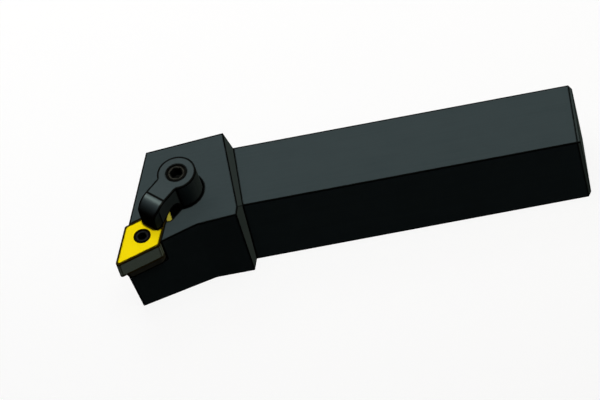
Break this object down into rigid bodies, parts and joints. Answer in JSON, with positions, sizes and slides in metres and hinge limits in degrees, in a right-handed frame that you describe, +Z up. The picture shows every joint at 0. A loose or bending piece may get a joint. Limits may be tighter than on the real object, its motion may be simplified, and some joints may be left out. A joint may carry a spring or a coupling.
{
  "type": "indexable turning tool",
  "caption": "Square-shank external turning tool, right hand, with a diamond insert on a shim, held by a lock pin and an arched top clamp.",
  "frame": {"origin": "on the seat face, midway across the shank, at the shoulder where the shank meets the head", "axes": "+X along the shank to its rear end, +Y to the locating side face, +Z up out of the rake face"},
  "size_m": [0.1495, 0.0405, 0.0394],
  "materials": {
    "blackened_steel": "satin black oxide",
    "clamp_steel": "satin black oxide",
    "screw_steel": "black oxide",
    "coated_carbide": "golden nitride coating on the flat faces, dark flanks",
    "plain_carbide": "ground cemented carbide"
  },
  "bodies": {
    "root": {"toolholder": "blackened_steel", "insert": "coated_carbide", "shim": "plain_carbide", "lock_pin": "screw_steel", "clamp": "clamp_steel", "clamp_screw": "screw_steel"}
  },
  "joints": []
}
